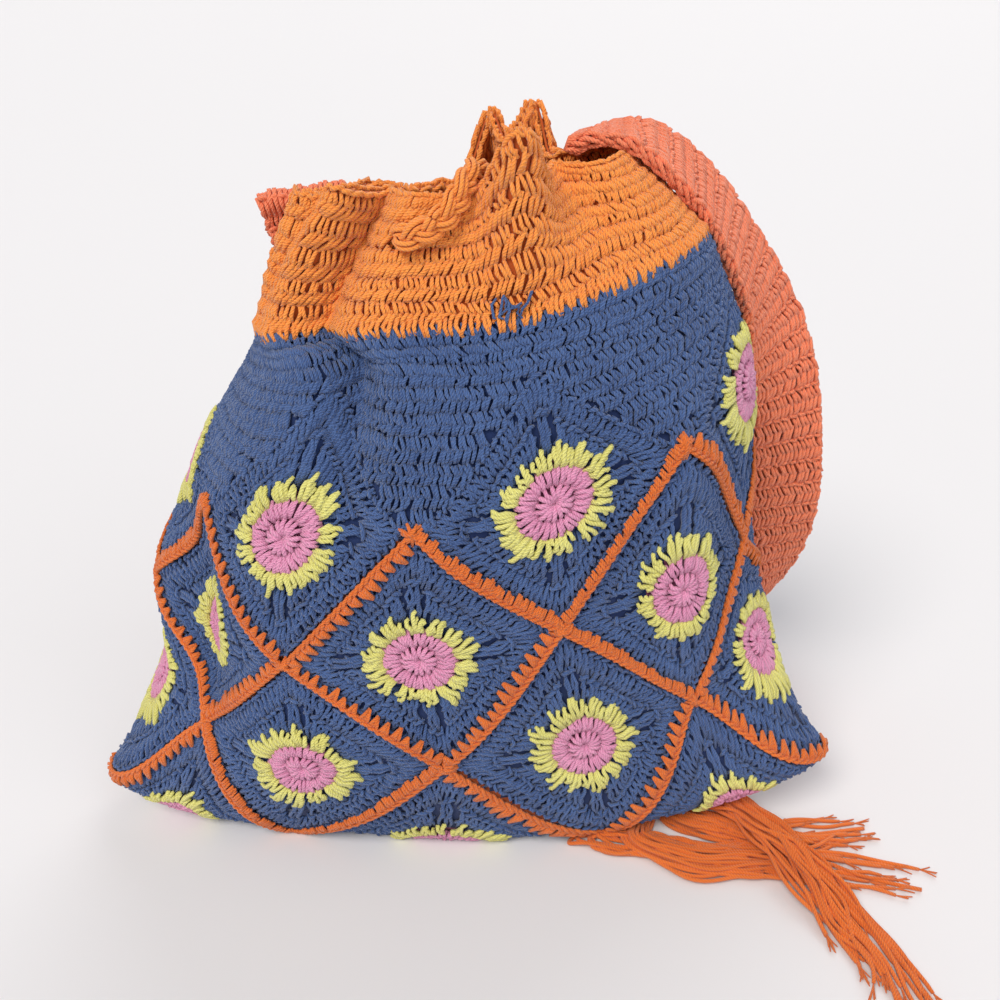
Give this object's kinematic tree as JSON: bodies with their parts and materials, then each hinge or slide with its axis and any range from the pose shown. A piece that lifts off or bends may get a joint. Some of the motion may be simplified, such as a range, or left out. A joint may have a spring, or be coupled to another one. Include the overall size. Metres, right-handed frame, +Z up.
{
  "type": "crochet granny square shoulder bag",
  "caption": "Slouchy crocheted shoulder bag of joined granny squares, with a gathered top band, a drawstring, a wide strap and a yarn tassel.",
  "frame": {"origin": "middle of the flat underside on which the bag rests, in the plane of the surface", "axes": "+Z up, +X towards the bag's right as seen from its front, +Y from its front to its back, where the strap lies"},
  "size_m": [0.5148, 0.3377, 0.4285],
  "materials": {
    "blue_cotton": "matte crocheted cotton yarn",
    "orange_cotton": "matte crocheted cotton yarn",
    "rust_cotton": "matte crocheted cotton yarn",
    "coral_cotton": "matte crocheted cotton yarn",
    "yellow_cotton": "matte crocheted cotton yarn",
    "pink_cotton": "matte crocheted cotton yarn"
  },
  "bodies": {
    "root": {"blue_yoke": "blue_cotton", "drawstring": "rust_cotton", "flower_a1": "yellow_cotton", "flower_a2": "yellow_cotton", "flower_a3": "yellow_cotton", "flower_a4": "yellow_cotton", "flower_a5": "yellow_cotton", "flower_a6": "yellow_cotton", "flower_b1": "yellow_cotton", "flower_b2": "yellow_cotton", "flower_b3": "yellow_cotton", "flower_b4": "yellow_cotton", "flower_b5": "yellow_cotton", "flower_b6": "yellow_cotton", "flower_c1": "yellow_cotton", "flower_c2": "yellow_cotton", "flower_c3": "yellow_cotton", "flower_c4": "yellow_cotton", "flower_c5": "yellow_cotton", "flower_c6": "yellow_cotton", "flower_d1": "yellow_cotton", "flower_d2": "yellow_cotton", "flower_d3": "yellow_cotton", "shoulder_strap": "coral_cotton", "square_b1": "blue_cotton", "square_b2": "blue_cotton", "square_b3": "blue_cotton", "square_b4": "blue_cotton", "square_b5": "blue_cotton", "square_b6": "blue_cotton", "square_c1": "blue_cotton", "square_c2": "blue_cotton", "square_c3": "blue_cotton", "square_c4": "blue_cotton", "square_c5": "blue_cotton", "square_c6": "blue_cotton", "square_d1": "blue_cotton", "square_d2": "blue_cotton", "square_d3": "blue_cotton", "tassel_binding": "rust_cotton", "tassel_lock_1": "rust_cotton", "tassel_lock_2": "rust_cotton", "tassel_lock_3": "rust_cotton", "top_band": "orange_cotton", "zigzag_joins": "rust_cotton"}
  },
  "joints": []
}
